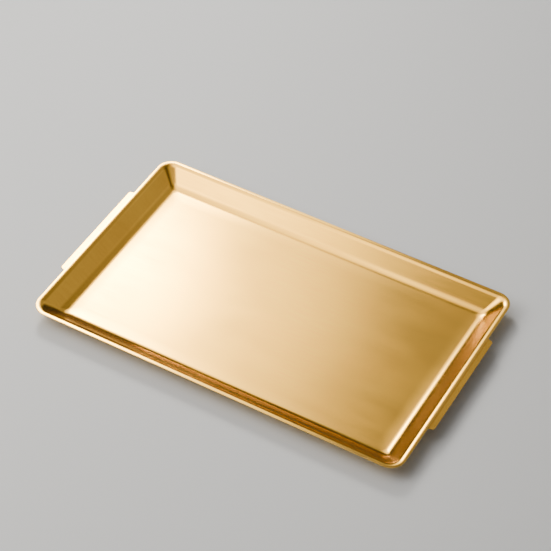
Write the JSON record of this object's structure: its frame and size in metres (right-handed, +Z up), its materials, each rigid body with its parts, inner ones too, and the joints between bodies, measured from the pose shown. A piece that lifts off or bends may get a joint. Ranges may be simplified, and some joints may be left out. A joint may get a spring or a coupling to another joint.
{
  "type": "serving tray",
  "caption": "Low rectangular brass serving tray with flared walls, a narrow flat rim and a thumb ledge under the rim at each short end.",
  "frame": {"origin": "on the surface the tray stands on, under the middle of the floor", "axes": "+X along the tray's length, +Y across its width, +Z up out of the tray"},
  "size_m": [0.4108, 0.25, 0.016],
  "materials": {
    "satin_brass": "satin, finely brushed"
  },
  "bodies": {
    "root": {"pan": "satin_brass", "handle_left": "satin_brass", "handle_right": "satin_brass"}
  },
  "joints": []
}
